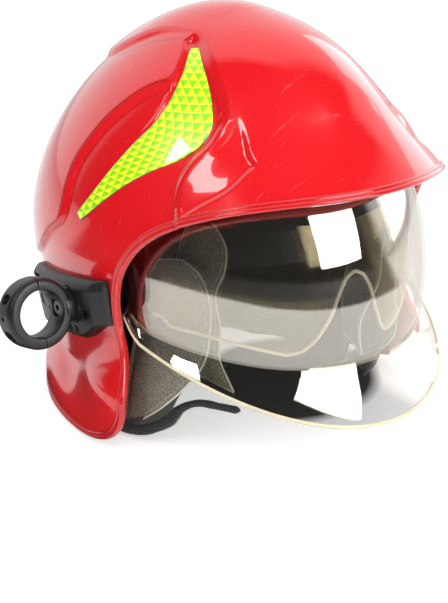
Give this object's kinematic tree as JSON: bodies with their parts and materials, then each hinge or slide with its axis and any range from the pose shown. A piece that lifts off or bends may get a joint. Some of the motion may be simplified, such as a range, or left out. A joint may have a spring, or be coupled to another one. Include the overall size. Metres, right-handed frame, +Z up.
{
  "type": "fire helmet",
  "caption": "Full-shell fire helmet with raised crest, reflective side panels, clear face shield, amber eye visor, leather ear flaps, neck curtain and swivelling torch clamp.",
  "frame": {"origin": "on the table under the middle of the head opening, on the ear line, with the helmet standing on its side lobes", "axes": "+Z up, front of the helmet towards -Y, the wearer's right towards -X (the side that carries the torch clamp)"},
  "size_m": [0.2965, 0.3257, 0.2675],
  "materials": {
    "red_shell": "high gloss lacquer over a moulded shell",
    "red_trim": "glossy rolled edge bead",
    "reflective_sticker": "retroreflective yellow-green film",
    "liner_foam": "black flocked foam",
    "webbing": "woven webbing",
    "black_plastic": "satin moulded",
    "dark_leather": "fine grain",
    "steel": "brushed",
    "black_rubber": "ribbed",
    "clear_shield": "clear, faint cream tint, cream edge bead",
    "amber_visor": "clear with a pale amber tint",
    "white_plastic": "satin",
    "bracket_plastic": "satin black glass-filled nylon",
    "flap_leather": "grey-olive grained leather, white stitching",
    "pad_leather": "olive grained leather, white stitching",
    "black_cloth": "heavy black cloth"
  },
  "bodies": {
    "helmet": {"shell": "red_shell", "edge_trim": "red_trim", "sticker_right": "reflective_sticker", "sticker_left": "reflective_sticker", "impact_liner": "liner_foam", "crown_straps": "webbing", "headband": "black_plastic", "brow_pad": "dark_leather", "nape_pad": "dark_leather", "ratchet_housing": "black_plastic", "ratchet_spindle": "steel", "pivot_plate_right": "black_plastic", "pivot_plate_left": "black_plastic", "pivot_pin_right": "steel", "pivot_pin_left": "steel", "pivot_spacer_right": "white_plastic", "pivot_spacer_left": "white_plastic", "torch_bracket": "bracket_plastic", "bracket_screws": "steel", "torch_swivel_base": "bracket_plastic", "torch_swivel_screw": "steel", "ear_flap_right": "flap_leather", "ear_flap_left": "flap_leather", "cheek_pad_right": "pad_leather", "cheek_pad_left": "pad_leather", "flap_hem_right": "black_cloth", "flap_hem_left": "black_cloth", "neck_curtain": "black_cloth", "chin_strap_right": "webbing", "chin_strap_left": "webbing", "buckle_socket": "black_plastic", "buckle_plug": "black_plastic"},
    "shield_body": {"face_shield": "clear_shield", "shield_arm_right": "black_plastic", "shield_arm_left": "black_plastic"},
    "visor_body": {"eye_visor": "amber_visor", "visor_arm_right": "black_plastic", "visor_arm_left": "black_plastic"},
    "wheel": {"ratchet_wheel": "black_rubber"},
    "torch_ring": {"torch_ring_inner": "bracket_plastic", "torch_ring_outer": "bracket_plastic"}
  },
  "joints": [
    {"name": "shield_raise", "type": "hinge", "parent": "helmet", "child": "shield_body", "pos_m": [0, 0.012, 0.124], "axis": [-1, 0, 0], "range_deg": [0, 31]},
    {"name": "visor_raise", "type": "hinge", "parent": "helmet", "child": "visor_body", "pos_m": [0, 0.012, 0.124], "axis": [-1, 0, 0], "range_deg": [0, 40]},
    {"name": "size_wheel_turn", "type": "hinge", "parent": "helmet", "child": "wheel", "pos_m": [0, 0.121, 0.1], "axis": [0, 1, 0], "range_deg": [-180, 180]},
    {"name": "torch_tilt", "type": "hinge", "parent": "helmet", "child": "torch_ring", "pos_m": [-0.129, 0.018, 0.094], "axis": [-1, 0, 0], "range_deg": [-30, 30]}
  ]
}
